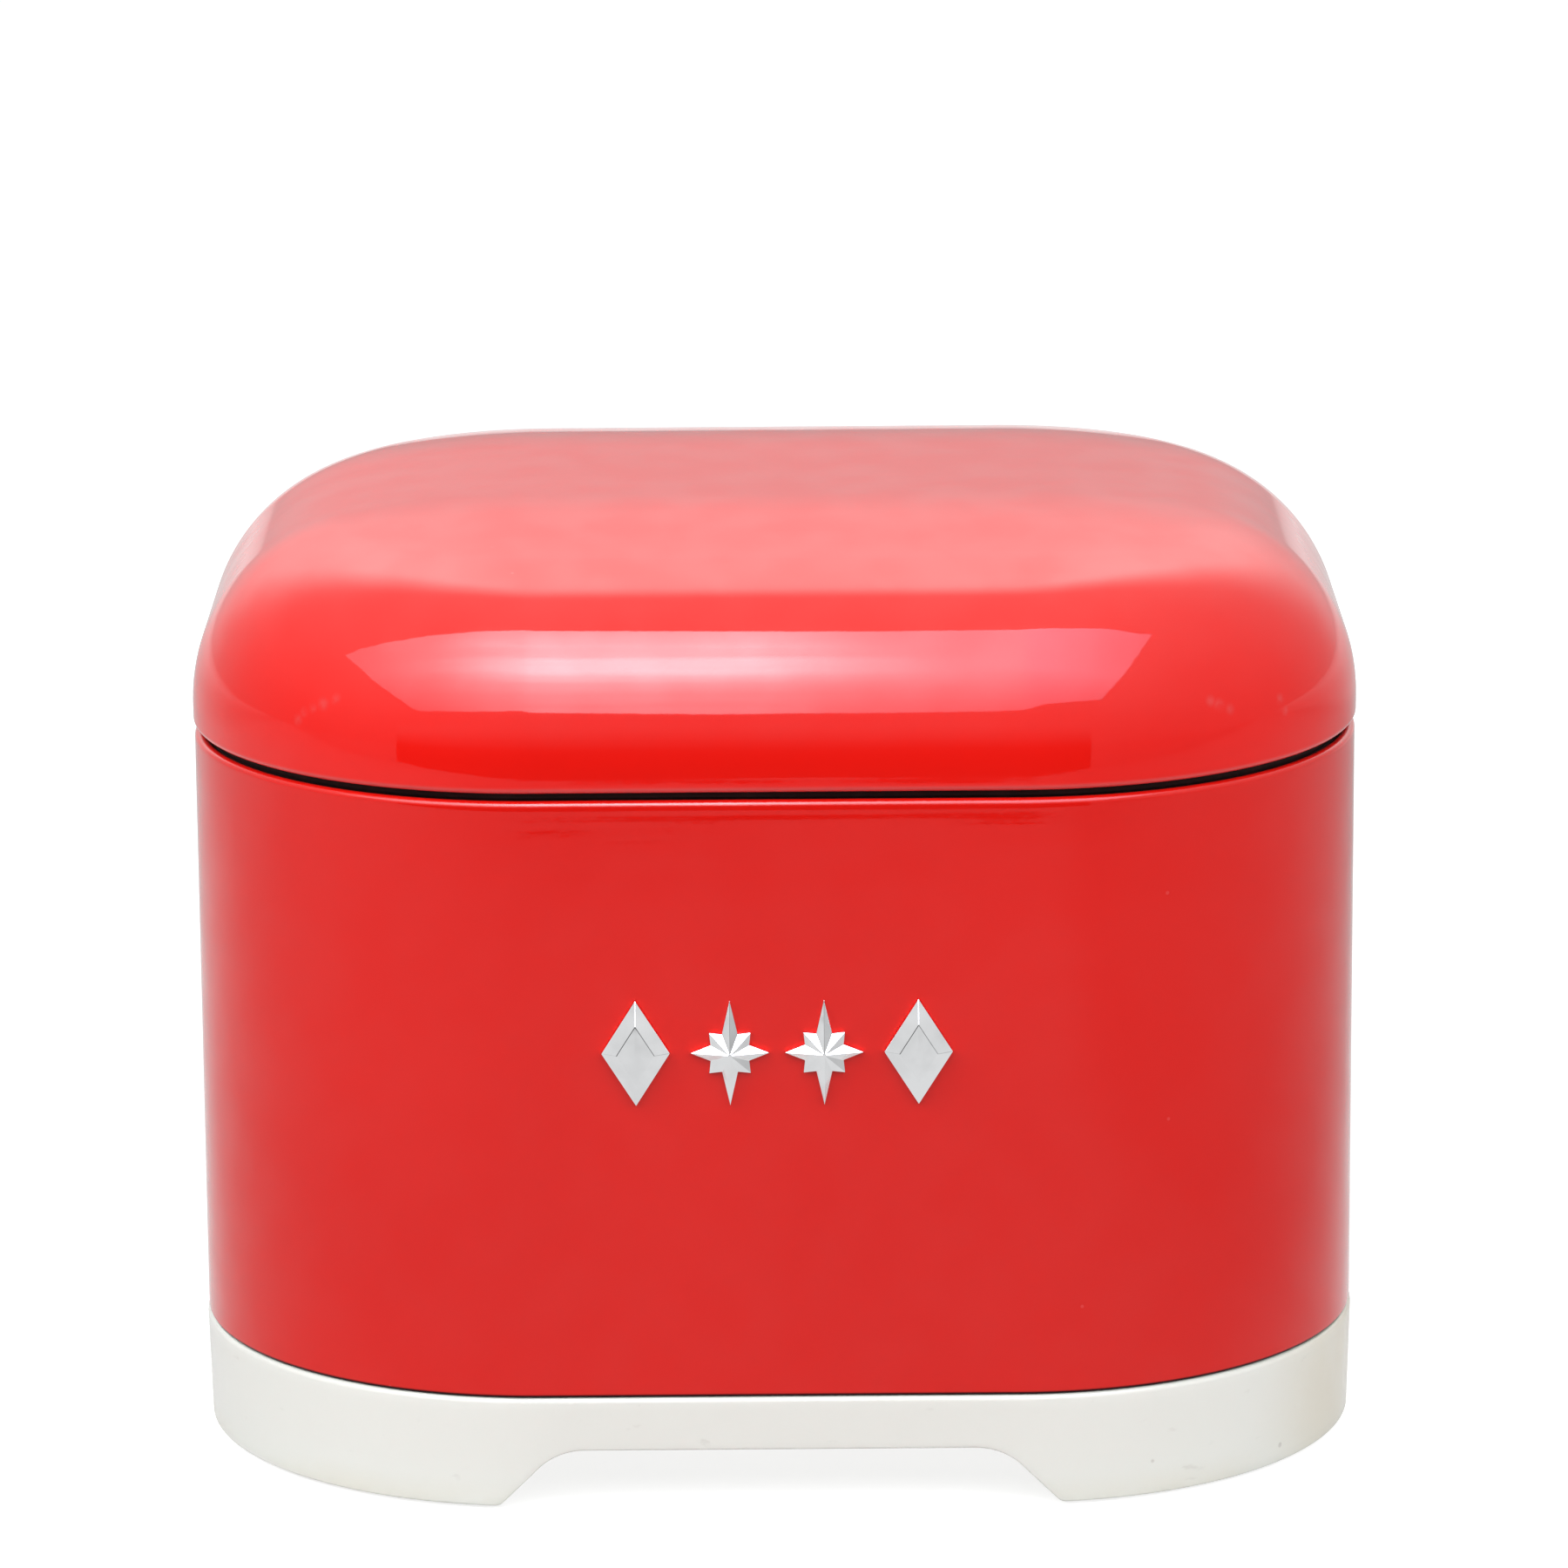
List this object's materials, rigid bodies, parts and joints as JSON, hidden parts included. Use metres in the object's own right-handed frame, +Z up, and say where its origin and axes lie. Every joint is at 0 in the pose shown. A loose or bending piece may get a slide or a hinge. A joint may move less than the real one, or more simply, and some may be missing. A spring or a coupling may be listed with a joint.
{
  "type": "cake tin",
  "caption": "Cake storage tin: red enamelled steel body with rounded corners, lift-off domed lid, cream arched plinth and chrome front ornaments.",
  "frame": {"origin": "on the floor under the middle of the tin, at the underside of its rubber feet", "axes": "+X to the right across the width, +Z up; the front with the ornaments faces -Y"},
  "size_m": [0.2856, 0.2341, 0.2323],
  "materials": {
    "red_enamel": "gloss",
    "tinplate": "satin",
    "cream_plastic": "gloss",
    "dark_rubber": "matte",
    "chrome": "mirror",
    "zinc_steel": "satin"
  },
  "bodies": {
    "tin": {"body_wall": "red_enamel", "body_bottom": "tinplate", "plinth": "cream_plastic", "foot_front_left": "dark_rubber", "foot_front_right": "dark_rubber", "foot_back_left": "dark_rubber", "foot_back_right": "dark_rubber", "badge_lozenge_left": "chrome", "badge_star_left": "chrome", "badge_star_right": "chrome", "badge_lozenge_right": "chrome", "badge_push_nuts": "zinc_steel", "plinth_screws": "zinc_steel", "weld_nuts": "zinc_steel"},
    "lid": {"lid_shell": "red_enamel", "lid_collar": "tinplate", "lid_seal": "dark_rubber"}
  },
  "joints": [
    {"name": "lid_lift", "type": "slide", "parent": "tin", "child": "lid", "axis": [0, 0, 1], "range_m": [0, 0.15]}
  ]
}
